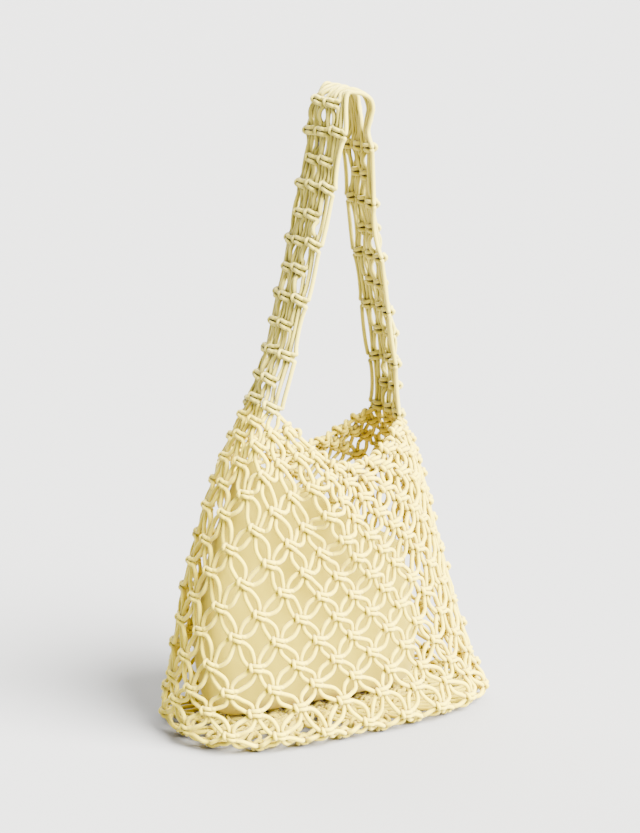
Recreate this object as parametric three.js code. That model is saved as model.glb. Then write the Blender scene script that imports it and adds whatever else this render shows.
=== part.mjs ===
// A knotted-cord tote bag: an open net body on a flat net base, a corded rim edge at the front
// and back of the mouth, one wide knotted shoulder strap and a loose cloth pouch inside.
// Millimetres, +Z up, front towards -Y, origin on the floor under the middle of the bag.
import * as THREE from 'three';
import { mergeVertices } from 'three/addons/utils/BufferGeometryUtils.js';

// Sizes of the net, the rim and the base
const NET_WALL = 5;
const KNOT_COLUMNS = 20;
const NET_TOP_ROW = 1.4;
const NET_FLOOR_ROW = 16;
const MESHES_ROUND = 14;
const MESH_HALF_ROWS = 8;
const MESH_CORNER_SHARE = 0.68;
const MESH_SIDE_SHARE = 0.74;
const RIM_RADIUS = 4.5;
const RIM_GAP = 0.6;
const RIM_END_CLEARANCE = 0.12;
const BASE_THICKNESS = 10;
const BASE_SETBACK = 0.9;
const BASE_GAP_PITCH = 42;
const BASE_GAP_OFFSET = 32;
const BASE_GAP_HALF = { x: 15, y: 17 };

// Sizes of the shoulder strap
const STRAP_HALF_WIDTH = 28;
const STRAP_THICKNESS = 7;
const STRAP_CELLS = { across: 4, along: 48 };
const STRAP_SLIT_EVERY = 8;
const STRAP_SLIT_SHARE = { across: 0.4, along: 0.85 };
const STRAP_CURL = { joint: 9, top: 2 };
const STRAP_JOINT_GAP = 1.8;
const STRAP_JOINT_RUN = 80;

// Sizes of the inner pouch
const POUCH_CLOTH = 1.5;
const POUCH_CELLS = { round: 28, down: 9 };
const POUCH_SEAT_GAP = 0.3;
const POUCH_MOUTH = { middle: 201.6, slope: -0.62 };
const POUCH_SQUARENESS = 2.4;

// Plan of the net at some of its knot rows, counted down from the strap joint: half length, sideways
// lean, half depth, squareness of the corners, height at the two ends and in the middle, and how far
// the front columns drift towards the right end, in columns.
const NET_ROWS = [
  { row: 1, half: 67.5, lean: -7, depth: 44, square: 2.6, left: 310, right: 282, middle: 247, drift: 0.3 },
  { row: 4, half: 89, lean: -10.5, depth: 68, square: 2.4, left: 257, right: 246, middle: 204, drift: 0.42 },
  { row: 8, half: 120, lean: -13.5, depth: 74, square: 2.5, left: 160, right: 158, middle: 135, drift: 0.45 },
  { row: 12, half: 150, lean: -4.5, depth: 80, square: 2.8, left: 54, right: 48, middle: 61, drift: 0.2 },
  { row: 13.5, half: 153.5, lean: -1, depth: 90, square: 2.45, left: 30, right: 22, middle: 33, drift: 0.35 },
  { row: 15, half: 154.5, lean: 0, depth: 88, square: 2.6, left: 10, right: 8.5, middle: 11, drift: 0.35 },
  { row: 16, half: 136, lean: -2, depth: 63, square: 2.55, left: 7, right: 7, middle: 7, drift: 0.4 },
];

// Middle line of the strap from the left joint over the top to the right one, with its turn in degrees
const STRAP_LINE = [
  { x: -74.5, z: 310, turn: 4 },
  { x: -56.5, z: 355, turn: 4 },
  { x: -31.5, z: 445, turn: 0 },
  { x: -6.5, z: 533, turn: -6 },
  { x: 0.5, z: 567, turn: -7 },
  { x: 6.5, z: 582, turn: -6 },
  { x: 17.5, z: 587, turn: -4 },
  { x: 28.5, z: 582, turn: -4 },
  { x: 34.5, z: 567, turn: -4 },
  { x: 33.5, z: 533, turn: -5 },
  { x: 44.5, z: 437, turn: -5 },
  { x: 55.5, z: 345, turn: -4 },
  { x: 60.5, z: 282, turn: 0 },
];

// Outline of the pouch from its foot (level 0) to its mouth (level 1)
const POUCH_LEVELS = [
  { level: 0, left: -113.5, right: 74.5, depth: 22 },
  { level: 0.07, left: -131.5, right: 88.5, depth: 33 },
  { level: 0.3, left: -137.5, right: 92.5, depth: 38 },
  { level: 0.6, left: -121.5, right: 89.5, depth: 34 },
  { level: 1, left: -87.5, right: 78.5, depth: 22 },
];

const COTTON_CORD = new THREE.MeshStandardMaterial({ color: '#e6d9a4', roughness: 0.85, metalness: 0 });
const POUCH_COTTON = new THREE.MeshStandardMaterial({ color: '#e3d28f', roughness: 0.8, metalness: 0 });

// Every named column of a table, at a place between its keys, on a smooth curve.
function between(table, key, at) {
  const last = table.length - 1;
  let i = 0;
  while (i < last - 1 && at > table[i + 1][key]) i += 1;
  const before = table[Math.max(i - 1, 0)];
  const from = table[i];
  const to = table[i + 1];
  const after = table[Math.min(i + 2, last)];
  const span = to[key] - from[key];
  const t = (at - from[key]) / span;
  const result = {};
  for (const name of Object.keys(from)) {
    const slopeFrom = span * (to[name] - before[name]) / (to[key] - before[key]);
    const slopeTo = span * (after[name] - from[name]) / (after[key] - from[key]);
    const bend = 2 * (from[name] - to[name]) + slopeFrom + slopeTo;
    const lift = 3 * (to[name] - from[name]) - 2 * slopeFrom - slopeTo;
    result[name] = ((bend * t + lift) * t + slopeFrom) * t + from[name];
  }
  return result;
}

function signedPower(value, power) {
  return Math.sign(value) * Math.abs(value) ** power;
}

// A rounded rectangle that starts at the left end and runs along the front first.
class RoundedSection extends THREE.Curve {
  constructor(half, depth, square) {
    super();
    this.half = half;
    this.depth = depth;
    this.power = 2 / square;
    this.arcLengthDivisions = 800;
  }

  getPoint(t, target = new THREE.Vector3()) {
    const angle = Math.PI * (1 + 2 * t);
    const x = this.half * signedPower(Math.cos(angle), this.power);
    const y = this.depth * signedPower(Math.sin(angle), this.power);
    return target.set(x, y, 0);
  }
}

const netSections = new Map();

function netSection(row) {
  if (!netSections.has(row)) {
    const shape = between(NET_ROWS, 'row', row);
    netSections.set(row, { shape, curve: new RoundedSection(shape.half, shape.depth, shape.square) });
  }
  return netSections.get(row);
}

// A point in the middle of the net's wall. Columns are evenly spaced round a row but for their drift.
function netPoint(column, row) {
  const { shape, curve } = netSection(row);
  const round = THREE.MathUtils.euclideanModulo(column, KNOT_COLUMNS);
  const drift = shape.drift * Math.sin(2 * Math.PI * round / KNOT_COLUMNS);
  const point = curve.getPointAt((round + drift) / KNOT_COLUMNS);
  const sag = Math.sin(Math.PI / 2 * (1 - Math.min(Math.abs(point.x) / shape.half, 1)));
  const end = point.x < 0 ? shape.left : shape.right;
  return point.set(point.x + shape.lean, point.y, end + (shape.middle - end) * sag);
}

// The same wall, addressed by mesh column and half row, as the openings are laid out.
function netWall(k, h) {
  const row = NET_TOP_ROW + (NET_FLOOR_ROW - NET_TOP_ROW) * h / MESH_HALF_ROWS;
  return netPoint(k * KNOT_COLUMNS / MESHES_ROUND, row);
}

// Direction that a sheet faces, with k running to the right and h downwards as seen from outside.
function sheetNormal(sheet, k, h) {
  const step = 0.02;
  const along = sheet(k + step, h).sub(sheet(k - step, h));
  const down = sheet(k, h + step).sub(sheet(k, h - step));
  const normal = down.cross(along);
  return normal.lengthSq() < 1e-9 ? normal.set(0, 0, -1) : normal.normalize();
}

// The flat pattern of a sheet: its places and the triangles between them.
class Pattern {
  constructor(wrapAt) {
    this.wrapAt = wrapAt;
    this.places = [];
    this.triangles = [];
    this.known = new Map();
  }

  place([k, h]) {
    const across = this.wrapAt ? THREE.MathUtils.euclideanModulo(k, this.wrapAt) : k;
    const key = `${across.toFixed(4)} ${h.toFixed(4)}`;
    if (!this.known.has(key)) {
      this.known.set(key, this.places.length);
      this.places.push([across, h]);
    }
    return this.known.get(key);
  }

  fill(corners) {
    const ids = corners.map((corner) => this.place(corner));
    for (let i = 1; i < ids.length - 1; i += 1) {
      const triangle = [ids[0], ids[i], ids[i + 1]];
      if (new Set(triangle).size === 3) this.triangles.push(triangle);
    }
  }

  // A cell with a smaller opening that has as many corners.
  pierce(ring, hole) {
    ring.forEach((corner, i) => {
      const next = (i + 1) % ring.length;
      this.fill([corner, ring[next], hole[next], hole[i]]);
    });
  }
}

// Rhombic meshes in staggered rows. The ones that an edge cuts in two are filled.
function meshPattern() {
  const pattern = new Pattern(MESHES_ROUND);
  const upper = [[0.5, 0], [0.25, -0.5], [0, -1], [-0.25, -0.5]];
  const offsets = [...upper, ...upper.map(([dk, dh]) => [-dk, -dh])];
  const shares = offsets.map((offset, i) => (i % 2 === 0 ? MESH_CORNER_SHARE : MESH_SIDE_SHARE));
  const holeOffsets = offsets.map(([dk, dh], i) => [dk * shares[i], dh * shares[i]]);
  for (let h = 0; h <= MESH_HALF_ROWS; h += 1) {
    for (let mesh = 0; mesh < MESHES_ROUND; mesh += 1) {
      const k = mesh + (h % 2) / 2;
      const ring = offsets.map(([dk, dh]) => [k + dk, h + dh]);
      if (h === 0) {
        pattern.fill([[k, h], ring[4], ring[5], ring[6], ring[7], ring[0]]);
      } else if (h === MESH_HALF_ROWS) {
        pattern.fill([[k, h], ring[0], ring[1], ring[2], ring[3], ring[4]]);
      } else {
        pattern.pierce(ring, holeOffsets.map(([dk, dh]) => [k + dk, h + dh]));
      }
    }
  }
  return pattern;
}

// Rectangular cells. A cell that starts a slit takes in the one below it and is cut through.
function cellPattern(across, along, wrapAt, startsSlit) {
  const pattern = new Pattern(wrapAt);
  for (let h = 0; h < along; h += 1) {
    for (let k = 0; k < across; k += 1) {
      if (startsSlit(k, h)) {
        const offsets = [[0.5, -1], [-0.5, -1], [-0.5, 0], [-0.5, 1], [0.5, 1], [0.5, 0]];
        const { across: wide, along: long } = STRAP_SLIT_SHARE;
        const ring = offsets.map(([dk, dh]) => [k + 0.5 + dk, h + 1 + dh]);
        pattern.pierce(ring, offsets.map(([dk, dh]) => [k + 0.5 + dk * wide, h + 1 + dh * long]));
      } else if (!startsSlit(k, h - 1)) {
        pattern.fill([[k + 1, h], [k, h], [k, h + 1], [k + 1, h + 1]]);
      }
    }
  }
  return pattern;
}

// A closed solid on both sides of a sheet, with walls round every free edge of its pattern.
function thickSheet(pattern, thickness, sheet) {
  const points = pattern.places.map(([k, h]) => sheet(k, h));
  const normals = pattern.places.map(([k, h]) => sheetNormal(sheet, k, h));
  const outer = points.map((point, i) => point.clone().addScaledVector(normals[i], thickness / 2));
  const inner = points.map((point, i) => point.clone().addScaledVector(normals[i], -thickness / 2));
  const count = points.length;
  const edges = new Map();
  const faces = [];
  for (const [a, b, c] of pattern.triangles) {
    faces.push(a, b, c, count + a, count + c, count + b);
    for (const [from, to] of [[a, b], [b, c], [c, a]]) edges.set(`${from} ${to}`, [from, to]);
  }
  for (const [from, to] of edges.values()) {
    if (!edges.has(`${to} ${from}`)) faces.push(to, from, count + from, to, count + from, count + to);
  }
  const geometry = new THREE.BufferGeometry().setFromPoints([...outer, ...inner]);
  geometry.setIndex(faces);
  geometry.computeVertexNormals();
  return geometry;
}

// The top edge of the net and the direction that leads straight up from it along the wall.
function netEdge(k) {
  const step = 0.02;
  const along = netWall(k + step, 0).sub(netWall(k - step, 0)).normalize();
  const up = sheetNormal(netWall, k, 0).cross(along);
  return { point: netWall(k, 0), up };
}

function netBodyGeometry() {
  return thickSheet(meshPattern(), NET_WALL, netWall);
}

// A round corded edge that lies on the top of the net between the two strap joints.
function rimGeometry(firstMesh, lastMesh) {
  const points = [];
  for (let k = firstMesh; k <= lastMesh; k += 0.5) {
    const inside = THREE.MathUtils.clamp(k, firstMesh + RIM_END_CLEARANCE, lastMesh - RIM_END_CLEARANCE);
    const { point, up } = netEdge(inside);
    points.push(point.addScaledVector(up, RIM_RADIUS + RIM_GAP));
  }
  const round = new THREE.Shape().absarc(0, 0, RIM_RADIUS, 0, 2 * Math.PI);
  const extrudePath = new THREE.CatmullRomCurve3(points);
  const tube = new THREE.ExtrudeGeometry(round, { extrudePath, steps: 2 * points.length, curveSegments: 5 });
  return weld(tube);
}

function weld(geometry) {
  geometry.deleteAttribute('normal');
  geometry.deleteAttribute('uv');
  const solid = mergeVertices(geometry);
  solid.computeVertexNormals();
  return solid;
}

// A flat plate inside the net's floor edge, with openings on both sides of its middle seam.
function baseGeometry() {
  const outline = [];
  for (let k = 0; k < MESHES_ROUND; k += 0.5) {
    const outward = sheetNormal(netWall, k, MESH_HALF_ROWS).setZ(0).normalize();
    const edge = netWall(k, MESH_HALF_ROWS).addScaledVector(outward, -BASE_SETBACK);
    outline.push(new THREE.Vector2(edge.x, edge.y));
  }
  const plate = new THREE.Shape(outline);
  for (const side of [-1, 1]) {
    for (let column = -2; column <= 2; column += 1) {
      const x = column * BASE_GAP_PITCH;
      const y = side * BASE_GAP_OFFSET;
      const corners = [
        new THREE.Vector2(x + BASE_GAP_HALF.x, y),
        new THREE.Vector2(x, y + BASE_GAP_HALF.y),
        new THREE.Vector2(x - BASE_GAP_HALF.x, y),
        new THREE.Vector2(x, y - BASE_GAP_HALF.y),
      ];
      plate.holes.push(new THREE.Path(corners));
    }
  }
  return weld(new THREE.ExtrudeGeometry(plate, { depth: BASE_THICKNESS, bevelEnabled: false }));
}

// Running length along the strap's middle line, added to each of its points.
const strapStations = STRAP_LINE.map((station) => ({ ...station, run: 0 }));
for (let i = 1; i < strapStations.length; i += 1) {
  const from = strapStations[i - 1];
  const to = strapStations[i];
  to.run = from.run + Math.hypot(to.x - from.x, to.z - from.z);
}
const STRAP_LENGTH = strapStations[strapStations.length - 1].run;

// A point of the free strap: t runs from -1 at its front edge to 1 at its back edge.
function strapBand(run, t) {
  const here = between(strapStations, 'run', run);
  const ahead = between(strapStations, 'run', run + 1);
  const heading = new THREE.Vector3(ahead.x - here.x, 0, ahead.z - here.z).normalize();
  const outward = new THREE.Vector3(-heading.z, 0, heading.x);
  const across = new THREE.Vector3(0, 1, 0).applyAxisAngle(heading, THREE.MathUtils.degToRad(-here.turn));
  const fromMiddle = Math.abs(2 * run / STRAP_LENGTH - 1);
  const curl = STRAP_CURL.top + (STRAP_CURL.joint - STRAP_CURL.top) * fromMiddle ** 3;
  const point = new THREE.Vector3(here.x, 0, here.z);
  return point.addScaledVector(across, t * STRAP_HALF_WIDTH).addScaledVector(outward, -curl * t * t);
}

function jointEdge(k) {
  const { point, up } = netEdge(k);
  return point.addScaledVector(up, STRAP_JOINT_GAP);
}

// The strap with both ends drawn onto the net's edge, which they continue.
function strapSheet(k, h) {
  const t = 2 * k / STRAP_CELLS.across - 1;
  const run = STRAP_LENGTH * h / STRAP_CELLS.along;
  const rightMesh = MESHES_ROUND / 2;
  const leftPull = 1 - THREE.MathUtils.smoothstep(run, 0, STRAP_JOINT_RUN);
  const rightPull = 1 - THREE.MathUtils.smoothstep(STRAP_LENGTH - run, 0, STRAP_JOINT_RUN);
  const leftMiss = jointEdge(-t).sub(strapBand(0, t));
  const rightMiss = jointEdge(rightMesh + t).sub(strapBand(STRAP_LENGTH, t));
  return strapBand(run, t).addScaledVector(leftMiss, leftPull).addScaledVector(rightMiss, rightPull);
}

function strapGeometry() {
  const half = STRAP_SLIT_EVERY / 2;
  const firstSlit = { 1: half - 1, 2: STRAP_SLIT_EVERY - 1 };
  const startsSlit = (k, h) => h % STRAP_SLIT_EVERY === firstSlit[k] && h < STRAP_CELLS.along - 1;
  const pattern = cellPattern(STRAP_CELLS.across, STRAP_CELLS.along, 0, startsSlit);
  return thickSheet(pattern, STRAP_THICKNESS, strapSheet);
}

// The pouch wall from its slanting mouth (h = 0) down to its foot, and across to the middle of its floor.
function pouchSheet(k, h) {
  const foot = BASE_THICKNESS + POUCH_SEAT_GAP + POUCH_CLOTH / 2;
  const level = 1 - h / (POUCH_CELLS.down - 1);
  const shape = between(POUCH_LEVELS, 'level', Math.max(level, 0));
  const reach = level < 0 ? Math.max(1 + level * (POUCH_CELLS.down - 1), 0) : 1;
  const half = (shape.right - shape.left) / 2;
  const section = new RoundedSection(half * reach, shape.depth * reach, POUCH_SQUARENESS);
  const round = THREE.MathUtils.euclideanModulo(k, POUCH_CELLS.round) / POUCH_CELLS.round;
  const point = section.getPoint(round);
  const x = point.x + (shape.left + shape.right) / 2;
  const mouth = POUCH_MOUTH.middle + POUCH_MOUTH.slope * x;
  return point.set(x, point.y, foot + (mouth - foot) * Math.max(level, 0));
}

function pouchGeometry() {
  const pattern = cellPattern(POUCH_CELLS.round, POUCH_CELLS.down, POUCH_CELLS.round, () => false);
  return thickSheet(pattern, POUCH_CLOTH, pouchSheet);
}

function piece(name, geometry, material) {
  const mesh = new THREE.Mesh(geometry, material);
  mesh.name = name;
  return mesh;
}

const bag = new THREE.Group();
bag.add(piece('net_body', netBodyGeometry(), COTTON_CORD));
bag.add(piece('net_base', baseGeometry(), COTTON_CORD));
bag.add(piece('rim_front', rimGeometry(1, MESHES_ROUND / 2 - 1), COTTON_CORD));
bag.add(piece('rim_back', rimGeometry(MESHES_ROUND / 2 + 1, MESHES_ROUND - 1), COTTON_CORD));
bag.add(piece('shoulder_strap', strapGeometry(), COTTON_CORD));
bag.add(piece('inner_pouch', pouchGeometry(), POUCH_COTTON));

export default bag;
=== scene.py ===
"""A tall tote bag tied from cotton cord in an open knotted net, on the frame of its CAD model."""
import math

import bpy
import numpy as np
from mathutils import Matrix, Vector


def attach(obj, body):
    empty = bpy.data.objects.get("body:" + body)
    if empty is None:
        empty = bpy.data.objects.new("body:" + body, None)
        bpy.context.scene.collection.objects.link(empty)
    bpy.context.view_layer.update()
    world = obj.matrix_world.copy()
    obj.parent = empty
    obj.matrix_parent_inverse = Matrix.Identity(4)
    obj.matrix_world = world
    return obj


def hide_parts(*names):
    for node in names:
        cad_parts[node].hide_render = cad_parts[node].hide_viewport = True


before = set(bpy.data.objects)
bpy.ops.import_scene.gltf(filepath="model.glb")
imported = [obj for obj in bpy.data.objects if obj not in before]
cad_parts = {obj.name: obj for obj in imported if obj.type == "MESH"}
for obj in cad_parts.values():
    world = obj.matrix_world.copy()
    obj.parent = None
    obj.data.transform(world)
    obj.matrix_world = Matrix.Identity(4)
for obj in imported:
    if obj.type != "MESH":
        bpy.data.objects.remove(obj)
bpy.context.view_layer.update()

bl_info = {
    "name": "Knotted net tote bag",
    "version": (1, 0, 0),
    "blender": (4, 5, 0),
    "location": "View3D > Sidebar > Tote Bag",
    "description": "Ties a tote bag of alternating square knots with a knotted strap and an inner pouch",
    "category": "Object",
}

# All lengths in the tables and functions below are millimetres. Meshes are made in metres.
MM = 0.001
COLUMNS = 20
HALF_COLUMNS = 2 * COLUMNS
RIGHT_END = COLUMNS // 2
STRAP_COLUMNS_LEFT = (-1, 0, 1)
STRAP_COLUMNS_RIGHT = (RIGHT_END - 1, RIGHT_END, RIGHT_END + 1)
FIRST_ROW = 2
LAST_BODY_ROW = 16
LAST_BASE_ROW = 19
LOWEST_KNOT = 7.5

# Points round the outline of a row, from which places on the net are read
OUTLINE_STEPS = 1441

# Plan of the net at some of its knot rows, counted down from the strap joint: row, half length,
# sideways lean, half depth, squareness, height at the left end, right end and middle, column drift.
# The rows after 14 lie under the bag.
NET_ROWS = np.array([
    (1, 71, -3.5, 44, 2.6, 310, 282, 247, 0.3),
    (4, 91.5, -8, 68, 2.4, 257, 246, 204, 0.42),
    (8, 121, -12.5, 74, 2.5, 160, 158, 135, 0.45),
    (12, 147.5, -7, 80, 2.8, 54, 48, 61, 0.2),
    (13, 153.5, -5, 86, 2.6, 37, 31, 42, 0.3),
    (14, 157, -2.5, 89.5, 2.9, 17.5, 14.5, 18, 0.35),
    (15, 150, -1.5, 79, 3.0, 7.5, 7.5, 7.5, 0.35),
    (16, 131, -2, 58, 2.7, 7.5, 7.5, 7.5, 0.4),
    (17, 108, -2, 39, 2.6, 7.5, 7.5, 7.5, 0.2),
    (18, 88, -2, 22, 2.6, 7.5, 7.5, 7.5, 0.1),
    (19, 71, -2, 8, 2.6, 7.5, 7.5, 7.5, 0),
])

# The soft fold down the front is a dent with a ridge to the right of it, in columns and rows of the net.
# Its middle is at FOLD_COLUMN in the first row, and drifts with the square of the rows below that.
FOLD_DEPTH = 10
FOLD_COLUMN, FOLD_DRIFT = 2.1, 0.05
FOLD_ROW, FOLD_ROWS = 3.8, 2.6
DENT_LEFT, DENT_RIGHT = 1.0, 0.6
RIDGE_SHARE, RIDGE_COLUMN, RIDGE_WIDTH = 0.5, 1.2, 0.6

# Middle line of the strap from the left joint over the top to the right one: x, z, turn in degrees
STRAP_LINE = np.array([
    (-74.5, 310, 4),
    (-56.5, 355, 4),
    (-30, 445, 0),
    (-6.5, 533, -6),
    (-3, 567, -7),
    (3, 580.5, -6),
    (16, 584.5, -4),
    (29, 580, -4),
    (34.5, 566, -4),
    (32, 533, -5),
    (45, 437, -5),
    (64.5, 345, -4),
    (67.5, 282, 0),
], dtype=float)
STRAP_RUN = np.concatenate([[0], np.cumsum(np.hypot(*np.diff(STRAP_LINE[:, :2], axis=0).T))])
STRAP_LENGTH = STRAP_RUN[-1]
STRAP_TABLE = np.column_stack([STRAP_RUN, STRAP_LINE])
STRAP_CORDS = 12
EDGE_CORDS = (0, 1, 10, 11)
HEADING_STEP = 1

# Both ends of the strap are drawn onto a row of the net, this many columns to each side of its end
JOINT_ROW = 1.0
JOINT_HALF_COLUMNS = COLUMNS / 14
JOINT_RUN = 80

# How far the strap's edges curl inwards at its joints and halfway along it
CURL_JOINT, CURL_TOP, CURL_POWER = 9, 2, 1.3

# Outline of the pouch from its foot to its mouth: level, left end, right end, half depth
POUCH_LEVELS = np.array([
    (0, -104.5, 65.5, 7),
    (0.03, -118.5, 77.5, 20),
    (0.08, -130.5, 87.5, 31),
    (0.3, -137.5, 92.5, 38),
    (0.6, -121.5, 89.5, 30),
    (1, -87.5, 78.5, 20),
])

# One square knot seen from outside, in knot units: across, up and out. One working cord lies across
# the two straight cords as bars, the other passes behind them and stands as a loop at the left.
# Each strand runs from its upper to its lower end.
BAR_STRAND = np.array([
    (-2.0, 0.35, -0.1), (-1.5, 0.38, -0.05), (-0.85, 0.5, 0.55), (-0.2, 0.48, 0.85), (0.5, 0.4, 0.8),
    (1.05, 0.3, 0.4), (1.35, -0.05, -0.2), (1.1, -0.68, 0.35), (0.55, -0.66, 0.8), (-0.15, -0.46, 0.88),
    (-0.8, -0.34, 0.6), (-1.45, -0.42, -0.05), (-2.0, -0.5, -0.1),
])
LOOP_STRAND = np.array([
    (2.1, 0.5, 0.05), (1.6, 0.42, 0.35), (1.05, 0.4, 0.3), (0.6, 0.45, -0.4), (0, 0.5, -0.85),
    (-0.7, 0.55, -0.75), (-1.2, 0.7, -0.25), (-1.48, 0.6, 0.45), (-1.52, 0.15, 0.9), (-1.42, -0.3, 0.85),
    (-1.22, -0.62, 0.25), (-0.9, -0.58, -0.5), (-0.2, -0.5, -0.85), (0.5, -0.5, -0.6), (1.0, -0.72, 0.15),
    (1.5, -0.85, 0.35), (2.05, -1.0, 0.1),
])
STRAIGHT_STRAND = np.array([(0, 1.45, 0), (0, 0.75, 0), (0, 0, 0), (0, -0.75, 0), (0, -1.45, 0)])
STRAIGHT_OFFSET = np.array((0.45, 0, 0))
STRANDS = 4

# How much the knots are turned at random, in radians
KNOT_TURN = 0.09

# The ways in which the four strands leave a knot at its top, loose in the net and close in the strap
NET_EXITS = np.array([(-0.75, 0.65, 0), (-0.1, 1, 0), (0.1, 1, 0), (1, 0.3, 0)])
STRAP_EXITS = np.array([(0.6, 1, 0), (0.05, 1, 0), (-0.05, 1, 0), (-0.6, 1, 0)])

# The arch in which a cord is folded over the core of the mouth's edge, left half of a knot, in knot units
RIM_ARCH = np.array([
    (-1.95, 0.8, 0.4), (-1.75, 1.3, 0.7), (-1.4, 1.75, 0.35), (-1.0, 1.75, -0.35), (-0.65, 1.3, -0.65),
])
RIM_CORE = 1.1
RIM_ROW = 1.3
RIM_KNOTS = 7
RIM_FRONT, RIM_BACK = 2, 12
RIM_COLUMNS = (*range(RIM_FRONT, RIM_FRONT + RIM_KNOTS), *range(RIM_BACK, RIM_BACK + RIM_KNOTS))
RIM_TUCK = 0.9

# How a free cord between two knots bends: share of its span that keeps the way out of the knot,
# unevenness as a multiple of the knots', pull towards the other end, and distance between two points.
NET_BOW, STRAP_BOW, EDGE_BOW = 0.45, 0.25, 0.16
NET_UNEVEN, STRAP_UNEVEN = 0.8, 2.2
LINK_LEAN = 0.5
LINK_STEP = 5.0

# Patterns of the cord: length of a plait and plaits round it, patches of dye and fuzz, and how near other
# cords lie where painted shade darkens it. The real braid is finer.
PLAIT_LENGTH, PLAITS_ROUND = 1.6, 6
DYE_PATCH, FIBRE_FUZZ = 25, 0.5
PAINTED_SHADE_REACH = 8

# The cloth's weave repeats after two threads
WEAVE_REPEAT = 0.9


def linear(hex_colour):
    """An sRGB hex value as linear RGBA."""
    channels = [int(hex_colour[i:i + 2], 16) / 255 for i in (1, 3, 5)]
    return [c / 12.92 if c <= 0.04045 else ((c + 0.055) / 1.055) ** 2.4 for c in channels] + [1.0]


class ToteSizes(bpy.types.PropertyGroup):
    cord_diameter: bpy.props.FloatProperty(
        name="Cord diameter", description="Thickness of the cotton cord",
        default=0.0040, min=0.002, max=0.008, unit="LENGTH")
    knot_unit: bpy.props.FloatProperty(
        name="Knot size", description="Spacing of the strands in a knot of the net",
        default=0.0041, min=0.002, max=0.008, unit="LENGTH")
    strap_knot_unit: bpy.props.FloatProperty(
        name="Strap knot size", description="Spacing of the strands in a knot of the strap",
        default=0.0045, min=0.002, max=0.008, unit="LENGTH")
    cord_sides: bpy.props.IntProperty(
        name="Cord sides", description="Faces round a cord", default=8, min=5, max=12)
    knot_jitter: bpy.props.FloatProperty(
        name="Knot unevenness", description="How far a knot may sit off its place",
        default=0.0006, min=0, max=0.003, unit="LENGTH")
    strap_half_width: bpy.props.FloatProperty(
        name="Strap half width", description="Half the width of the shoulder strap",
        default=0.029, min=0.015, max=0.05, unit="LENGTH")
    pouch_cloth: bpy.props.FloatProperty(
        name="Pouch cloth", description="Thickness of the pouch's cloth",
        default=0.0012, min=0.0005, max=0.003, unit="LENGTH")
    pouch_mouth: bpy.props.FloatProperty(
        name="Pouch mouth height", description="Height of the pouch's mouth in the middle of the bag",
        default=0.2016, min=0.1, max=0.25, unit="LENGTH")


class ToteColours(bpy.types.PropertyGroup):
    cord: bpy.props.FloatVectorProperty(
        name="Cord", description="Colour of the cotton cord", subtype="COLOR", size=4,
        default=linear("#dbc829"), min=0, max=1)
    cord_shade: bpy.props.FloatVectorProperty(
        name="Cord, darker", description="Colour of the cord where its dye is deeper",
        subtype="COLOR", size=4, default=linear("#d1bb20"), min=0, max=1)
    # Painted shade: the strap is the same cord as the net, coloured darker and greyer where it stands in
    # shade
    strap: bpy.props.FloatVectorProperty(
        name="Strap cord", description="Colour of the strap's cord, greyer than the net's",
        subtype="COLOR", size=4, default=linear("#ccbe4c"), min=0, max=1)
    strap_painted_shade_deeper_dye: bpy.props.FloatVectorProperty(
        name="Strap cord, darker", description="Colour of the strap's cord where its dye is deeper",
        subtype="COLOR", size=4, default=linear("#c0b03c"), min=0, max=1)
    # Painted shade: dark colours mixed into the cords where other cords lie close, darkest in the strap
    cord_painted_crevice_shade: bpy.props.FloatVectorProperty(
        name="Cord, crevices", description="Colour of the cord between its strands",
        subtype="COLOR", size=4, default=linear("#6e5a1a"), min=0, max=1)
    strap_painted_crevice_shade: bpy.props.FloatVectorProperty(
        name="Strap cord, crevices", description="Colour between the close cords of the strap",
        subtype="COLOR", size=4, default=linear("#33280c"), min=0, max=1)
    pouch: bpy.props.FloatVectorProperty(
        name="Pouch", description="Colour of the pouch's cloth", subtype="COLOR", size=4,
        default=linear("#bdac2c"), min=0, max=1)
    pouch_shade: bpy.props.FloatVectorProperty(
        name="Pouch, darker", description="Colour of the pouch where its dye is deeper",
        subtype="COLOR", size=4, default=linear("#b3a024"), min=0, max=1)
    floor: bpy.props.FloatVectorProperty(
        name="Floor", description="Colour of the floor", subtype="COLOR", size=4,
        default=linear("#8e8e8e"), min=0, max=1)


def unit(vectors):
    return vectors / np.maximum(np.linalg.norm(vectors, axis=-1, keepdims=True), 1e-9)


def signed_power(values, power):
    return np.sign(values) * np.abs(values) ** power


def smoothstep(values, edge):
    t = np.clip(values / edge, 0, 1)
    return t * t * (3 - 2 * t)


def between(table, at):
    """The rows of a table at places between the keys in its first column, on smooth curves."""
    keys = table[:, 0]
    at = np.atleast_1d(np.asarray(at, dtype=float))
    i = np.clip(np.searchsorted(keys, at) - 1, 0, len(keys) - 2)
    before, after = np.maximum(i - 1, 0), np.minimum(i + 2, len(keys) - 1)
    span = (keys[i + 1] - keys[i])[:, None]
    t = (at - keys[i])[:, None] / span
    start, end = table[i], table[i + 1]
    slope_start = span * (end - table[before]) / (keys[i + 1] - keys[before])[:, None]
    slope_end = span * (table[after] - start) / (keys[after] - keys[i])[:, None]
    bend = 2 * (start - end) + slope_start + slope_end
    lift = 3 * (end - start) - 2 * slope_start - slope_end
    return ((bend * t + lift) * t + slope_start) * t + start


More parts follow.
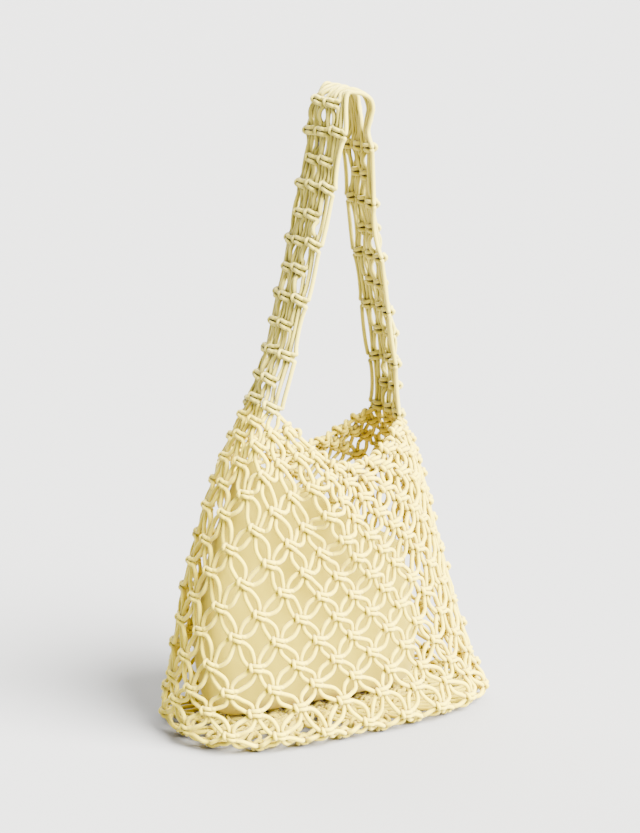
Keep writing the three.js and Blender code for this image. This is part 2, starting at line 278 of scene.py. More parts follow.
def net_points(columns, row):
    """Points of the net's middle surface at columns of one row, with a soft fold in the front."""
    half, lean, depth, square, left, right, middle, drift = between(NET_ROWS, row)[0, 1:]
    columns = np.asarray(columns, dtype=float) % COLUMNS
    angle = np.linspace(math.pi, 3 * math.pi, OUTLINE_STEPS)
    x = half * signed_power(np.cos(angle), 2 / square)
    y = depth * signed_power(np.sin(angle), 2 / square)
    run = np.concatenate([[0], np.cumsum(np.hypot(np.diff(x), np.diff(y)))])
    place = (columns + drift * np.sin(2 * math.pi * columns / COLUMNS)) / COLUMNS * run[-1]
    px, py = np.interp(place, run, x), np.interp(place, run, y)
    sag = np.sin(math.pi / 2 * (1 - np.minimum(np.abs(px) / half, 1)))
    end = np.where(px < 0, left, right)
    z = np.maximum(end + (middle - end) * sag, LOWEST_KNOT)
    side = columns - FOLD_COLUMN - FOLD_DRIFT * (row - 1) ** 2
    dent = np.exp(-(side / np.where(side > 0, DENT_RIGHT, DENT_LEFT)) ** 2)
    ridge = RIDGE_SHARE * np.exp(-((side - RIDGE_COLUMN) / RIDGE_WIDTH) ** 2)
    fold = (dent - ridge) * math.exp(-((row - FOLD_ROW) / FOLD_ROWS) ** 2)
    return np.stack([px + lean, py + FOLD_DEPTH * fold, z], axis=-1)


def net_frames(columns, row, step=0.08):
    """Places on the net with their directions to the right, up and outwards, as rows of a matrix."""
    columns = np.asarray(columns, dtype=float)
    along = unit(net_points(columns + step, row) - net_points(columns - step, row))
    down = unit(net_points(columns, row + step) - net_points(columns, row - step))
    out = unit(np.cross(down, along))
    up = unit(np.cross(out, along) - down)
    right = np.cross(up, out)
    return net_points(columns, row), np.stack([right, up, out], axis=-2)


def strap_band(run, t, half_width):
    """A point of the free strap; t runs from -1 at its front edge to 1 at its back edge."""
    flat = np.zeros(len(run))
    here = between(STRAP_TABLE, run)[:, 1:]
    step = between(STRAP_TABLE, run + HEADING_STEP)[:, 1:] - here
    heading = unit(np.stack([step[:, 0], flat, step[:, 1]], axis=-1))
    outward = np.stack([-heading[:, 2], flat, heading[:, 0]], axis=-1)
    turn = np.radians(-here[:, 2])[:, None]
    across = np.cos(turn) * np.array((0, 1, 0)) + np.sin(turn) * np.cross(heading, (0, 1, 0))
    curl = CURL_TOP + (CURL_JOINT - CURL_TOP) * np.abs(2 * run / STRAP_LENGTH - 1) ** CURL_POWER
    middle = np.stack([here[:, 0], flat, here[:, 1]], axis=-1)
    return middle + across * (t * half_width)[:, None] - outward * (curl * t * t)[:, None]


def strap_points(run, t, half_width):
    """The strap with both ends drawn onto the net's edge, which they continue."""
    run, t = np.broadcast_arrays(np.asarray(run, dtype=float), np.asarray(t, dtype=float))
    shape = run.shape
    run, t = run.ravel(), t.ravel()
    start, end = np.zeros(len(run)), np.full(len(run), STRAP_LENGTH)
    left_edge = net_points(-t * JOINT_HALF_COLUMNS, JOINT_ROW)
    right_edge = net_points(RIGHT_END + t * JOINT_HALF_COLUMNS, JOINT_ROW)
    left_miss = left_edge - strap_band(start, t, half_width)
    right_miss = right_edge - strap_band(end, t, half_width)
    left_pull = 1 - smoothstep(run, JOINT_RUN)
    right_pull = 1 - smoothstep(STRAP_LENGTH - run, JOINT_RUN)
    points = strap_band(run, t, half_width)
    points = points + left_miss * left_pull[:, None] + right_miss * right_pull[:, None]
    return points.reshape(shape + (3,))


def strap_frame(run, t, half_width, upward, run_step=2, t_step=0.08):
    """A place on the strap with its directions; upward is 1 on the left leg and -1 on the right one."""
    here = strap_points(run, t, half_width)
    along = strap_points(run + run_step, t, half_width) - strap_points(run - run_step, t, half_width)
    across = strap_points(run, t + t_step, half_width) - strap_points(run, t - t_step, half_width)
    out = unit(np.cross(along, across))
    up = unit(along * upward)
    return here, np.stack([np.cross(up, out), up, out], axis=-2)


class Knot:
    """A square knot in its place: four strands, each with an upper and a lower end."""

    def __init__(self, place, axes, size, narrow, exits, rng, jitter):
        self.place = place + rng.normal(0, jitter, 3)
        turn = rng.normal(0, KNOT_TURN)
        right, up, out = axes
        self.axes = np.stack([right * math.cos(turn) + up * math.sin(turn),
                              up * math.cos(turn) - right * math.sin(turn), out])
        self.exits = exits
        width = np.array((narrow, 1, 1))
        strands = (BAR_STRAND * width, STRAIGHT_STRAND - STRAIGHT_OFFSET,
                   STRAIGHT_STRAND + STRAIGHT_OFFSET, LOOP_STRAND * width)
        self.strands = [self.place + (strand * size) @ self.axes for strand in strands]

    def end(self, strand, upper):
        """The end of a strand and the direction in which the cord leaves the knot there."""
        exit_way = self.exits[strand] * (1, 1 if upper else -1, 1)
        return self.strands[strand][0 if upper else -1], unit(exit_way @ self.axes)


def link_points(start, end, bow):
    """Points along a free cord between two ends, without the ends."""
    (p0, d0), (p1, d1) = start, end
    chord = p1 - p0
    span = np.linalg.norm(chord)
    lean = LINK_LEAN * chord / span
    a = p0 + unit(d0 + lean) * bow * span
    b = p1 + unit(d1 - lean) * bow * span
    count = max(3, round(span / LINK_STEP))
    t = np.linspace(0, 1, count + 2)[1:-1, None]
    return (1 - t) ** 3 * p0 + 3 * t * (1 - t) ** 2 * a + 3 * t ** 2 * (1 - t) * b + t ** 3 * p1


def smooth_path(points, spans=5):
    """A smooth curve through points, with a few steps between each two."""
    padded = np.vstack([2 * points[0] - points[1], points, 2 * points[-1] - points[-2]])
    t = np.linspace(0, 1, spans, endpoint=False)[None, :, None]
    a, b, c, d = (padded[i:len(padded) - 3 + i, None, :] for i in range(4))
    bend = 2 * a - 5 * b + 4 * c - d
    twist = 3 * b - a - 3 * c + d
    curve = 0.5 * (2 * b + (c - a) * t + bend * t ** 2 + twist * t ** 3)
    return np.vstack([curve.reshape(-1, 3), points[-1]])


def bend_cost(path, longest=4.6, sharpest=0.46):
    """Running count of the steps that a path needs so that no step is too long or too bent."""
    steps = np.diff(path, axis=0)
    length = np.linalg.norm(steps, axis=1)
    way = unit(steps)
    turn = np.arccos(np.clip((way[1:] * way[:-1]).sum(axis=1), -1, 1))
    turn = np.concatenate([[0], (turn[1:] + turn[:-1]) / 2, [0]])[:len(length)]
    return np.concatenate([[0], np.cumsum(length / longest + turn / sharpest)])


def even_paths(controls):
    """Smooth paths with as many points each, closer together where a path bends."""
    smooth = [smooth_path(points) for points in controls]
    costs = [bend_cost(path) for path in smooth]
    count = int(math.ceil(max(cost[-1] for cost in costs))) + 1
    paths = []
    for path, cost in zip(smooth, costs):
        at = np.linspace(0, cost[-1], count)
        paths.append(np.stack([np.interp(at, cost, path[:, axis]) for axis in range(3)], axis=-1))
    return np.array(paths)


def cord_tubes(paths, radius, sides, aside=(0.36, 0.48, 0.8)):
    """Rings of points round cords, untwisted along each, and the running length of each cord."""
    ways = unit(np.gradient(paths, axis=1))
    across = np.empty_like(paths)
    across[:, 0] = unit(np.cross(ways[:, 0], aside))
    for i in range(1, paths.shape[1]):
        before = across[:, i - 1]
        across[:, i] = unit(before - ways[:, i] * (before * ways[:, i]).sum(axis=1, keepdims=True))
    other = np.cross(ways, across)
    angle = 2 * math.pi * np.arange(sides) / sides
    spokes = np.cos(angle)[:, None] * across[:, :, None] + np.sin(angle)[:, None] * other[:, :, None]
    rings = paths[:, :, None] + radius * spokes
    length = np.linalg.norm(np.diff(paths, axis=1), axis=2).cumsum(axis=1)
    return rings, np.concatenate([np.zeros((len(paths), 1)), length], axis=1)


def mesh_object(name, vertices, quads, caps, uvs, material):
    """An object of quads and end caps, from points in millimetres and the UV of each corner."""
    mesh = bpy.data.meshes.new(name)
    mesh.vertices.add(len(vertices))
    mesh.vertices.foreach_set("co", (vertices * MM).astype(np.float32).ravel())
    corners = np.concatenate([quads.ravel(), caps.ravel()])
    totals = np.concatenate([np.full(len(quads), 4), np.full(len(caps), caps.shape[1])])
    mesh.loops.add(len(corners))
    mesh.loops.foreach_set("vertex_index", corners.astype(np.int32))
    mesh.polygons.add(len(totals))
    mesh.polygons.foreach_set("loop_start", (np.cumsum(totals) - totals).astype(np.int32))
    mesh.polygons.foreach_set("use_smooth", totals == 4)
    mesh.update(calc_edges=True)
    layer = mesh.uv_layers.new(name="UVMap")
    layer.data.foreach_set("uv", uvs.astype(np.float32).ravel())
    mesh.materials.append(material)
    if mesh.validate():
        raise RuntimeError(f"{name} has faulty faces")
    piece = bpy.data.objects.new(name, mesh)
    bpy.context.scene.collection.objects.link(piece)
    return piece


def cord_object(name, groups, radius, sides, material):
    """One object of many cords. Each group is a list of control paths that are made alike."""
    vertices, quads, caps, uvs, cap_uvs = [], [], [], [], []
    base = 0
    for controls in groups:
        rings, lengths = cord_tubes(even_paths(controls), radius, sides)
        cords, count = rings.shape[:2]
        grid = base + np.arange(cords * count * sides).reshape(cords, count, sides)
        follow = np.roll(grid, -1, axis=2)
        faces = np.stack([grid[:, :-1], follow[:, :-1], follow[:, 1:], grid[:, 1:]], axis=-1)
        quads.append(faces.reshape(-1, 4))
        along = np.broadcast_to(lengths[:, :, None], grid.shape)
        round_from = np.broadcast_to(np.arange(sides) / sides, grid.shape)
        round_to = round_from + 1 / sides
        corner_u = np.stack([along[:, :-1], along[:, :-1], along[:, 1:], along[:, 1:]], axis=-1)
        corner_v = np.stack(
            [round_from[:, :-1], round_to[:, :-1], round_to[:, 1:], round_from[:, 1:]], axis=-1)
        uvs.append(np.stack([corner_u, corner_v], axis=-1).reshape(-1, 2))
        caps.append(np.concatenate([grid[:, 0, ::-1], grid[:, -1]]))
        cap_uvs.append(np.zeros((2 * cords * sides, 2)))
        vertices.append(rings.reshape(-1, 3))
        base += cords * count * sides
    return mesh_object(name, np.vstack(vertices), np.vstack(quads), np.vstack(caps),
                       np.vstack(uvs + cap_uvs), material)


class NetLayout:
    """All knots of the net and the strap, and the cords that run through them."""

    # Rows of knots on the strap's legs: how many, how far the first is up the strap, and their spacing
    LEFT_ROWS, LEFT_FIRST, LEFT_PITCH = 12, -3.9, 25.12
    RIGHT_ROWS, RIGHT_FIRST, RIGHT_PITCH = 11, 1.0, 25.23
    JOINT_RISE = 3.5
    NET_NARROW, STRAP_NARROW = 0.9, 0.98
    STRAP_SPREAD, TOP_SQUEEZE = 0.75, 0.1
    KNOT_SEED, TOP_SEED = 11, 60

    # The plain run over the top: how far it starts from the last knots, its steps, and its unevenness
    # across the strap, as a share of the half width, and in every direction
    TOP_GAP, TOP_STEPS = 13, 7
    TOP_SHIFT, TOP_ROUGH = 0.025, 0.6

    # Places of the cords across the strap there: even ones at its ends, parted ones in between
    TOP_SPREAD = 0.82
    BACK_CORDS, BACK_EDGE, BACK_STEP = 8, 0.78, 0.085
    FRONT_EDGE, FRONT_STEP = -0.55, 0.11

    def __init__(self, sizes):
        self.cord = sizes.cord_diameter / MM
        self.knot_unit = sizes.knot_unit / MM
        self.strap_knot_unit = sizes.strap_knot_unit / MM
        self.half_width = sizes.strap_half_width / MM
        self.jitter = sizes.knot_jitter / MM
        self.rng = np.random.default_rng(self.KNOT_SEED)
        self.knots = {}
        self.add_row(1, RIM_COLUMNS, RIM_ROW)
        for row in range(FIRST_ROW, LAST_BASE_ROW + 1):
            self.add_row(row, np.arange(COLUMNS) + (0 if row % 2 else 0.5), row)
        self.legs = [self.leg(self.LEFT_ROWS, self.LEFT_FIRST, self.LEFT_PITCH, 1),
                     self.leg(self.RIGHT_ROWS, self.RIGHT_FIRST, self.RIGHT_PITCH, -1)]
        for column in STRAP_COLUMNS_LEFT:
            self.knots[float(column % COLUMNS), 1] = self.legs[0][0][float(column)]
        for column in STRAP_COLUMNS_RIGHT:
            self.knots[float(column), 1] = self.legs[1][0][float(RIGHT_END - column)]

    def add_row(self, row, columns, height):
        """Ties a row of the net's knots, at a height counted in rows."""
        for column, place, axes in zip(columns, *net_frames(columns, height)):
            self.knots[float(column), row] = Knot(place, axes, self.knot_unit, self.NET_NARROW, NET_EXITS,
                                                  self.rng, self.jitter)

    def leg(self, rows, first, pitch, upward):
        """The knots of one leg of the strap, from the joint up: three and two by turns."""
        leg = []
        for j in range(rows):
            run = first + pitch * j + (self.JOINT_RISE if j == 0 else 0)
            if upward < 0:
                run = STRAP_LENGTH - run
            spread = self.STRAP_SPREAD - self.TOP_SQUEEZE * j / rows
            knots = {}
            for q in ((-1.0, 0.0, 1.0) if j % 2 == 0 else (-0.5, 0.5)):
                place, axes = strap_frame(run, -q * spread, self.half_width, upward)
                knots[q] = Knot(place, axes, self.strap_knot_unit, self.STRAP_NARROW, STRAP_EXITS,
                                self.rng, self.jitter)
            leg.append(knots)
        return leg

    def strand_at(self, strip, second, row):
        """The column of the knot and the strand that a cord of a half-column strip passes at a row."""
        left_column = strip / 2
        on_left = (strip % 2 == 0) == (row % 2 == 1)
        column = left_column if on_left else (left_column + 0.5) % COLUMNS
        strand = (2 if second else 3) if on_left else (0 if second else 1)
        return float(column), strand

    def rim_cords(self, column):
        """The two cords of a knot at the mouth, each folded over the core of the edge."""
        knot = self.knots[column, 1]
        arch = knot.place + RIM_ARCH * self.knot_unit @ knot.axes
        mirrored = knot.place + RIM_ARCH * (-1, 1, 1) * self.knot_unit @ knot.axes
        return [np.vstack([knot.strands[0][::-1], arch, knot.strands[1][1:]]),
                np.vstack([knot.strands[3][::-1], mirrored, knot.strands[2][1:]])]

    def rim_core(self, first, last):
        """The core cord of the edge, whose ends are tucked into the joints of the strap."""
        places, axes = net_frames(np.linspace(first, last, 40), RIM_ROW)
        return places + axes[:, 1] * RIM_CORE * self.knot_unit

    def net_cord(self, strip, second, rows):
        """Points along one cord of the net through some of its rows."""
        column, strand = self.strand_at(strip, second, rows[0] - 1)
        before = self.knots[column, rows[0] - 1].end(strand, False)
        points = [before[0]]
        for row in rows:
            column, strand = self.strand_at(strip, second, row)
            knot = self.knots[column, row]
            link = link_points(before, knot.end(strand, True), NET_BOW)
            points.extend(self.uneven(link, NET_UNEVEN))
            points.extend(knot.strands[strand])
            before = knot.end(strand, False)
        return np.array(points)

    def base_cord(self, strip, second):
        """A cord under the bag, from the last row of the body to the seam in the middle."""
        rows = range(LAST_BODY_ROW + 1, LAST_BASE_ROW + 1)
        points = self.net_cord(strip, second, rows)
        column, strand = self.strand_at(strip, second, LAST_BASE_ROW)
        own = self.knots[column, LAST_BASE_ROW].end(strand, False)[0]
        facing = self.knots[(COLUMNS - column) % COLUMNS, LAST_BASE_ROW]
        other = facing.end(STRANDS - 1 - strand, False)[0]
        return np.vstack([points, (2 * own + other) / 3, (own + other) / 2])

    def strap_cord(self, m):
        """Points along one of the strap's twelve cords, counted from its back edge on the left leg."""
        stops = []
        for leg, rotated in zip(self.legs, (False, True)):
            part = []
            for j, knots in enumerate(leg):
                first = 0 if j % 2 == 0 else STRANDS // 2
                if not first <= m < STRAP_CORDS - first:
                    continue
                q = sorted(knots)[(m - first) // STRANDS]
                strand = (m - first) % STRANDS
                part.append((knots[q], STRANDS - 1 - strand if rotated else strand))
            stops.append(part)
        bow = EDGE_BOW if m in EDGE_CORDS else STRAP_BOW
        points, before = [], None
        for knot, strand in stops[0]:
            if before is not None:
                link = link_points(before, knot.end(strand, False), bow)
                points.extend(self.uneven(link, STRAP_UNEVEN))
            points.extend(knot.strands[strand][::-1])
            before = knot.end(strand, True)
        points.extend(self.top_points(m))
        before = None
        for knot, strand in reversed(stops[1]):
            if before is not None:
                link = link_points(before, knot.end(strand, True), bow)
                points.extend(self.uneven(link, STRAP_UNEVEN))
            points.extend(knot.strands[strand])
            before = knot.end(strand, False)
        return np.array(points)

    def uneven(self, points, share):
        """Points of a free cord that bulges a little to one side."""
        bulge = np.sin(np.linspace(0, math.pi, len(points) + 2))[1:-1, None]
        return points + bulge * self.rng.normal(0, share * self.jitter, 3)

    def top_points(self, m):
        """The plain run of a cord over the top of the strap."""
        start = self.LEFT_FIRST + self.LEFT_PITCH * (self.LEFT_ROWS - 1) + self.TOP_GAP
        end = STRAP_LENGTH - self.RIGHT_FIRST - self.RIGHT_PITCH * (self.RIGHT_ROWS - 1) - self.TOP_GAP
        rng = np.random.default_rng(self.TOP_SEED + m)
        u = np.linspace(0, 1, self.TOP_STEPS)
        even = self.TOP_SPREAD * (1 - (2 * m + 1) / STRAP_CORDS)
        # Four cords keep to the front edge and eight to the back, so that a slit opens between them
        if m < self.BACK_CORDS:
            parted = self.BACK_EDGE - self.BACK_STEP * m
        else:
            parted = self.FRONT_EDGE - self.FRONT_STEP * (m - self.BACK_CORDS)
        t = even + (parted - even) * np.sin(math.pi * u) + rng.normal(0, self.TOP_SHIFT, self.TOP_STEPS)
        points = strap_points(start + (end - start) * u, t, self.half_width)
        return points + rng.normal(0, self.TOP_ROUGH, points.shape)


def add_node(tree, kind, settings=None, inputs=None, links=None):
    """Adds a node, sets its properties and input values, and links sockets into its inputs."""
    node = tree.nodes.new(kind)
    for key, value in (settings or {}).items():
        setattr(node, key, value)
    for key, value in (inputs or {}).items():
        node.inputs[key].default_value = value
    for key, socket in (links or {}).items():
        tree.links.new(socket, node.inputs[key])
    return node


def new_material(name):
    material = bpy.data.materials.new(name)
    material.use_nodes = True
    material.node_tree.nodes.clear()
    return material, material.node_tree


def cotton_cord_material(name, dye_colour, dye_shade, painted_crevice_shade):
    """Braided cotton cord, soft and matt, with fine slanting plaits, slightly uneven dye and painted
    crevice shade.
    """
    existing = bpy.data.materials.get(name)
    if existing:
        return existing
    material, tree = new_material(name)
    uv = add_node(tree, "ShaderNodeUVMap", {"uv_map": "UVMap"})
    split = add_node(tree, "ShaderNodeSeparateXYZ", links={0: uv.outputs[0]})
    # Plaits slant round the cord in both directions
    around = add_node(tree, "ShaderNodeMath", {"operation": "MULTIPLY"},
                      {1: PLAITS_ROUND * 2 * math.pi}, {0: split.outputs[1]})
    along = add_node(tree, "ShaderNodeMath", {"operation": "MULTIPLY"},
                     {1: 2 * math.pi / PLAIT_LENGTH}, {0: split.outputs[0]})
    slant = {0: around.outputs[0], 1: along.outputs[0]}
    rising = add_node(tree, "ShaderNodeMath", {"operation": "ADD"}, links=slant)
    falling = add_node(tree, "ShaderNodeMath", {"operation": "SUBTRACT"}, links=slant)
    rising_wave = add_node(tree, "ShaderNodeMath", {"operation": "SINE"}, links={0: rising.outputs[0]})
    falling_wave = add_node(tree, "ShaderNodeMath", {"operation": "SINE"}, links={0: falling.outputs[0]})
    plait = add_node(tree, "ShaderNodeMath", {"operation": "MAXIMUM"},
                     links={0: rising_wave.outputs[0], 1: falling_wave.outputs[0]})
    place = add_node(tree, "ShaderNodeTexCoord")
    on_piece = {"Vector": place.outputs["Object"]}
    dye = add_node(tree, "ShaderNodeTexNoise",
                   inputs={"Scale": 1 / (DYE_PATCH * MM), "Detail": 3.0}, links=on_piece)
    fuzz = add_node(tree, "ShaderNodeTexNoise",
                    inputs={"Scale": 1 / (FIBRE_FUZZ * MM), "Detail": 2.0}, links=on_piece)
    relief = add_node(tree, "ShaderNodeMath", {"operation": "MULTIPLY_ADD"},
                      {1: 0.5}, {0: fuzz.outputs["Fac"], 2: plait.outputs[0]})
    dyed = add_node(tree, "ShaderNodeMix", {"data_type": "RGBA"},
                    {6: list(dye_colour), 7: list(dye_shade)}, {0: dye.outputs["Fac"]})
    # Painted shade: the colour turns towards a dark crevice colour where other cords lie close, read from
    # ambient occlusion
    near = add_node(tree, "ShaderNodeAmbientOcclusion", {"samples": 8}, {"Distance": PAINTED_SHADE_REACH * MM})
    unshaded_share = add_node(tree, "ShaderNodeMapRange", inputs={"From Min": 0.1, "From Max": 0.95},
                          links={"Value": near.outputs["AO"]})
    colour = add_node(tree, "ShaderNodeMix", {"data_type": "RGBA"},
                      {6: list(painted_crevice_shade)}, {0: unshaded_share.outputs[0], 7: dyed.outputs[2]})
    bump = add_node(tree, "ShaderNodeBump", inputs={"Strength": 0.18, "Distance": 0.0003},
                    links={"Height": relief.outputs[0]})
    shader = add_node(
        tree, "ShaderNodeBsdfPrincipled",
        inputs={"Roughness": 0.78, "IOR": 1.45, "Specular IOR Level": 0.3,
                "Sheen Weight": 0.25, "Sheen Roughness": 0.5},
        links={"Base Color": colour.outputs[2], "Normal": bump.outputs[0]})
    add_node(tree, "ShaderNodeOutputMaterial", links={"Surface": shader.outputs[0]})
    return material


def net_cord_material(colours):
    return cotton_cord_material("Braided cotton cord", colours.cord, colours.cord_shade, colours.cord_painted_crevice_shade)


# The strap's copy of the cord material, darker and greyer as painted shade, with deeper painted crevice
# shade
def strap_painted_shade_cord_material(colours):
    return cotton_cord_material("Braided cotton cord, strap in painted shade", colours.strap, colours.strap_painted_shade_deeper_dye,
                                colours.strap_painted_crevice_shade)


def pouch_cloth_material(colours):
    """Plain-woven cotton cloth: matt, with a fine even weave and faint unevenness of the dye."""
    material, tree = new_material("Plain cotton cloth")
    uv = add_node(tree, "ShaderNodeUVMap", {"uv_map": "UVMap"})
    split = add_node(tree, "ShaderNodeSeparateXYZ", links={0: uv.outputs[0]})
    threads = {1: 2 * math.pi / WEAVE_REPEAT}
    warp = add_node(tree, "ShaderNodeMath", {"operation": "MULTIPLY"}, threads, {0: split.outputs[0]})
    weft = add_node(tree, "ShaderNodeMath", {"operation": "MULTIPLY"}, threads, {0: split.outputs[1]})
    warp_wave = add_node(tree, "ShaderNodeMath", {"operation": "SINE"}, links={0: warp.outputs[0]})
    weft_wave = add_node(tree, "ShaderNodeMath", {"operation": "SINE"}, links={0: weft.outputs[0]})
    weave = add_node(tree, "ShaderNodeMath", {"operation": "MULTIPLY"},
                     links={0: warp_wave.outputs[0], 1: weft_wave.outputs[0]})
    place = add_node(tree, "ShaderNodeTexCoord")
    # Dye patches about 45 mm across
    dye = add_node(tree, "ShaderNodeTexNoise", inputs={"Scale": 22.0, "Detail": 4.0},
                   links={"Vector": place.outputs["Object"]})
    colour = add_node(tree, "ShaderNodeMix", {"data_type": "RGBA"},
                      {6: list(colours.pouch), 7: list(colours.pouch_shade)}, {0: dye.outputs["Fac"]})
    bump = add_node(tree, "ShaderNodeBump", inputs={"Strength": 0.15, "Distance": 0.0002},
                    links={"Height": weave.outputs[0]})
    shader = add_node(
        tree, "ShaderNodeBsdfPrincipled",
        inputs={"Roughness": 0.85, "IOR": 1.45, "Specular IOR Level": 0.25,
                "Sheen Weight": 0.15, "Sheen Roughness": 0.5},
        links={"Base Color": colour.outputs[2], "Normal": bump.outputs[0]})
    add_node(tree, "ShaderNodeOutputMaterial", links={"Surface": shader.outputs[0]})
    return material


def finish_piece(piece, slot, *nodes):
    """Ties a finished piece to the frame."""
    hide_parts(*nodes)
    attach(piece, "root")


class TOTE_OT_net(bpy.types.Operator):
    """Tie the open net of the body, one quarter of its cords at a time"""
    bl_idname = "tote.net"
    bl_label = "Net body"

    def execute(self, context):
        sizes, colours = context.scene.tote_sizes, context.scene.tote_colours
        layout = NetLayout(sizes)
        material = net_cord_material(colours)
        rows = range(FIRST_ROW, LAST_BODY_ROW + 1)
        quarters = ("net_front_left", "net_front_right", "net_back_right", "net_back_left")
        for i, name in enumerate(quarters):
            strips = range(HALF_COLUMNS * i // 4, HALF_COLUMNS * (i + 1) // 4)
            cords = [layout.net_cord(strip, second, rows) for strip in strips for second in (False, True)]
            piece = cord_object(name, [cords], layout.cord / 2, sizes.cord_sides, material)
            finish_piece(piece, "cotton_cord", "net_body")
        return {"FINISHED"}


class TOTE_OT_base(bpy.types.Operator):
    """Tie the rows of knots under the bag, drawn together at the middle seam"""
    bl_idname = "tote.base"
    bl_label = "Net base"

    def execute(self, context):
        sizes, colours = context.scene.tote_sizes, context.scene.tote_colours
        layout = NetLayout(sizes)
        strips = range(HALF_COLUMNS)
        cords = [layout.base_cord(strip, second) for strip in strips for second in (False, True)]
        material = net_cord_material(colours)
        piece = cord_object("net_base_cords", [cords], layout.cord / 2, sizes.cord_sides, material)
        finish_piece(piece, "cotton_cord", "net_base")
        return {"FINISHED"}


class TOTE_OT_rims(bpy.types.Operator):
    """Tie the first row of knots along the mouth, folded over a core cord, front and back"""
    bl_idname = "tote.rims"
    bl_label = "Mouth rims"

    def execute(self, context):
        sizes, colours = context.scene.tote_sizes, context.scene.tote_colours
        layout = NetLayout(sizes)
        material = net_cord_material(colours)
        rims = (("rim_knots_front", "rim_front", RIM_FRONT), ("rim_knots_back", "rim_back", RIM_BACK))
        for name, node, first in rims:
            columns = range(first, first + RIM_KNOTS)
            cords = [cord for column in columns for cord in layout.rim_cords(float(column))]
            core = layout.rim_core(columns[0] - RIM_TUCK, columns[-1] + RIM_TUCK)
            piece = cord_object(name, [cords, [core]], layout.cord / 2, sizes.cord_sides, material)
            finish_piece(piece, "cotton_cord", node)
        return {"FINISHED"}


class TOTE_OT_strap(bpy.types.Operator):
    """Tie the shoulder strap from twelve cords, three and two knots by turns"""
    bl_idname = "tote.strap"
    bl_label = "Shoulder strap"

    def execute(self, context):
        sizes, colours = context.scene.tote_sizes, context.scene.tote_colours
        layout = NetLayout(sizes)
        cords = [layout.strap_cord(m) for m in range(STRAP_CORDS)]
        material = strap_painted_shade_cord_material(colours)
        piece = cord_object("strap_cords", [cords], layout.cord / 2, sizes.cord_sides, material)
        finish_piece(piece, "cotton_cord", "shoulder_strap")
        return {"FINISHED"}


class TOTE_OT_pouch(bpy.types.Operator):
    """Shape the cloth pouch inside the net, with soft folds in its wall"""
    bl_idname = "tote.pouch"
    bl_label = "Inner pouch"

    # Faces round the wall, rings down it and across its floor, and the ring that measures its girth
    ROUND, DOWN, FLOOR, GIRTH_RING = 180, 70, 14, 20

    # How the rings crowd towards the foot, and the share of the floor that its last face fills
    CROWDING, FLOOR_MIDDLE = 0.9, 0.02
    FOOT = 12.6
    SLOPE = -0.62
    SQUARE = 2.4

    # Soft folds in the wall: waves round, turn from foot to mouth, start and share of each
    FOLDS = ((3, 4, 0, 1), (7, -6, 1, 0.6), (12, 9, 2, 0.4))
    FOLD_HEIGHT, FOLD_LIFT = 1.6, 0.15

    def wall(self, around, level, mouth_height):
        """Points of the pouch's wall at angles round it, at one level from foot (0) to mouth (1)."""
        _, left, right, depth = between(POUCH_LEVELS, level)[0]
        x = (left + right) / 2 + (right - left) / 2 * signed_power(np.cos(around), 2 / self.SQUARE)
        y = depth * signed_power(np.sin(around), 2 / self.SQUARE)
        fold = sum(share * np.sin(waves * around + turn * level + start)
                   for waves, turn, start, share in self.FOLDS)
        rise = math.sin(math.pi * min(level + self.FOLD_LIFT, 1))
        y = y + self.FOLD_HEIGHT * fold * rise * np.sin(around) ** 2
        mouth = mouth_height + self.SLOPE * x
        z = self.FOOT + (mouth - self.FOOT) * level
        return np.stack([x, y, z], axis=-1)

    def execute(self, context):
        sizes, colours = context.scene.tote_sizes, context.scene.tote_colours
        mouth_height = sizes.pouch_mouth / MM
        around = math.pi + 2 * math.pi * np.arange(self.ROUND) / self.ROUND
        levels = 1 - np.linspace(0, 1, self.DOWN) ** self.CROWDING
        rings = [self.wall(around, level, mouth_height) for level in levels]
        foot = rings[-1]
        centre = foot.mean(axis=0)
        shares = np.linspace(1, self.FLOOR_MIDDLE, self.FLOOR)[1:]
        rings = np.array(rings + [centre + (foot - centre) * share for share in shares])
        count = len(rings)
        grid = np.arange(count * self.ROUND).reshape(count, self.ROUND)
        follow = np.roll(grid, -1, axis=1)
        quads = np.stack([follow[:-1], grid[:-1], grid[1:], follow[1:]], axis=-1).reshape(-1, 4)
        down = np.linalg.norm(np.diff(rings, axis=0), axis=2).mean(axis=1).cumsum()
        down = np.broadcast_to(np.concatenate([[0], down])[:, None], grid.shape)
        widest = rings[self.GIRTH_RING]
        girth = np.linalg.norm(np.roll(widest, -1, axis=0) - widest, axis=1).sum()
        along = np.broadcast_to(np.arange(self.ROUND) / self.ROUND * girth, grid.shape)
        ahead = along + girth / self.ROUND
        u = np.stack([ahead[:-1], along[:-1], along[1:], ahead[1:]], axis=-1)
        v = np.stack([down[:-1], down[:-1], down[1:], down[1:]], axis=-1)
        uvs = np.vstack([np.stack([u, v], axis=-1).reshape(-1, 2), np.zeros((self.ROUND, 2))])
        material = pouch_cloth_material(colours)
        piece = mesh_object("pouch_cloth", rings.reshape(-1, 3), quads, grid[-1:], uvs, material)
        bpy.ops.object.select_all(action="DESELECT")
        context.view_layer.objects.active = piece
        piece.select_set(True)
        solid = piece.modifiers.new("Cloth", "SOLIDIFY")
        solid.thickness = sizes.pouch_cloth
        solid.offset = 0
        bpy.ops.object.modifier_apply(modifier=solid.name)
        bpy.ops.object.shade_smooth()
        finish_piece(piece, "pouch_cotton", "inner_pouch")
        return {"FINISHED"}


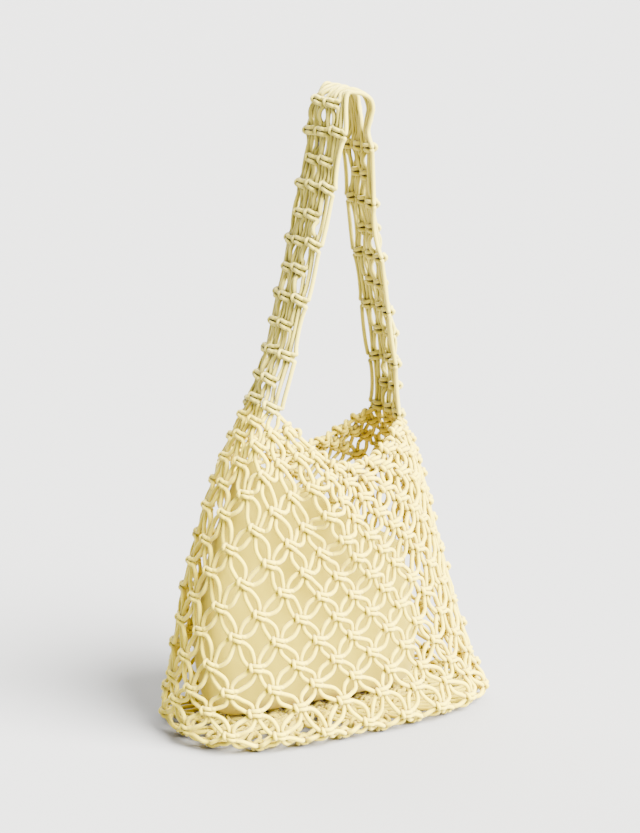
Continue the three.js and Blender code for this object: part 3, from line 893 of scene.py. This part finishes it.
class TOTE_OT_stage(bpy.types.Operator):
    """Set the camera, the soft lights and the pale floor"""
    bl_idname = "tote.stage"
    bl_label = "Stage"

    AZIMUTH, ELEVATION, DISTANCE = -30.0, 13.0, 2.05
    TARGET = Vector((-0.0085, 0.0, 0.285))
    LENS, SENSOR = 96.3, 36
    NEAREST, FARTHEST = 0.05, 50
    FLOOR_SIZE = 60
    SKY_STRENGTH = 0.05

    # Soft lights: name, where they come from, strength, width in degrees and colour
    LIGHTS = (
        ("key_softbox", (0.36, -0.68, 0.67), 52.0, 46, (1, 0.985, 0.95)),
        ("overhead_softbox", (0.3, 0.3, 1.0), 4.0, 50, (1, 1, 1)),
        ("back_softbox", (0.15, 0.85, 0.5), 6.5, 60, (1, 1, 1)),
    )

    def sun(self, context, name, towards, strength, softness, colour):
        """A broad even light from far off, from the direction given, as wide as softness in degrees."""
        data = bpy.data.lights.new(name, "SUN")
        data.energy = strength
        data.angle = math.radians(softness)
        data.color = colour
        light = bpy.data.objects.new(name, data)
        light.rotation_euler = Vector(towards).to_track_quat("Z", "Y").to_euler()
        context.scene.collection.objects.link(light)

    def execute(self, context):
        colours = context.scene.tote_colours
        azimuth, elevation = math.radians(self.AZIMUTH), math.radians(self.ELEVATION)
        back = Vector((math.sin(azimuth) * math.cos(elevation), -math.cos(azimuth) * math.cos(elevation),
                       math.sin(elevation)))
        data = bpy.data.cameras.new("photo_camera")
        data.lens = self.LENS
        data.sensor_width = self.SENSOR
        data.sensor_fit = "AUTO"
        data.clip_start, data.clip_end = self.NEAREST, self.FARTHEST
        camera = bpy.data.objects.new("photo_camera", data)
        camera.location = self.TARGET + back * self.DISTANCE
        camera.rotation_euler = back.to_track_quat("Z", "Y").to_euler()
        context.scene.collection.objects.link(camera)
        context.scene.camera = camera

        bpy.ops.object.select_all(action="DESELECT")
        bpy.ops.mesh.primitive_grid_add(x_subdivisions=2, y_subdivisions=2, size=self.FLOOR_SIZE)
        floor = context.active_object
        floor.name = "studio_floor"
        material, tree = new_material("Matt grey studio paper")
        shader = add_node(
            tree, "ShaderNodeBsdfPrincipled",
            inputs={"Base Color": list(colours.floor), "Roughness": 0.9, "Specular IOR Level": 0.1})
        add_node(tree, "ShaderNodeOutputMaterial", links={"Surface": shader.outputs[0]})
        floor.data.materials.append(material)

        world = bpy.data.worlds.new("Pale studio")
        world.use_nodes = True
        world.node_tree.nodes.clear()
        background = add_node(world.node_tree, "ShaderNodeBackground",
                              inputs={"Color": (1, 1, 1, 1), "Strength": self.SKY_STRENGTH})
        add_node(world.node_tree, "ShaderNodeOutputWorld", links={"Surface": background.outputs[0]})
        context.scene.world = world
        for light in self.LIGHTS:
            self.sun(context, *light)
        return {"FINISHED"}


OPERATORS = (TOTE_OT_stage, TOTE_OT_net, TOTE_OT_base, TOTE_OT_rims, TOTE_OT_strap, TOTE_OT_pouch)


class TOTE_PT_panel(bpy.types.Panel):
    bl_idname = "TOTE_PT_panel"
    bl_label = "Knotted Net Tote"
    bl_space_type = "VIEW_3D"
    bl_region_type = "UI"
    bl_category = "Tote Bag"

    def draw(self, context):
        for group in (context.scene.tote_sizes, context.scene.tote_colours):
            for name in group.__annotations__:
                self.layout.prop(group, name)
        for operator in OPERATORS:
            self.layout.operator(operator.bl_idname)


CLASSES = (ToteSizes, ToteColours, *OPERATORS, TOTE_PT_panel)


def register():
    for cls in CLASSES:
        bpy.utils.register_class(cls)
    bpy.types.Scene.tote_sizes = bpy.props.PointerProperty(type=ToteSizes)
    bpy.types.Scene.tote_colours = bpy.props.PointerProperty(type=ToteColours)


def unregister():
    del bpy.types.Scene.tote_colours
    del bpy.types.Scene.tote_sizes
    for cls in reversed(CLASSES):
        bpy.utils.unregister_class(cls)


def main():
    register()
    bpy.ops.tote.stage()
    bpy.ops.tote.net()
    bpy.ops.tote.base()
    bpy.ops.tote.rims()
    bpy.ops.tote.strap()
    bpy.ops.tote.pouch()


if __name__ == "__main__":
    main()
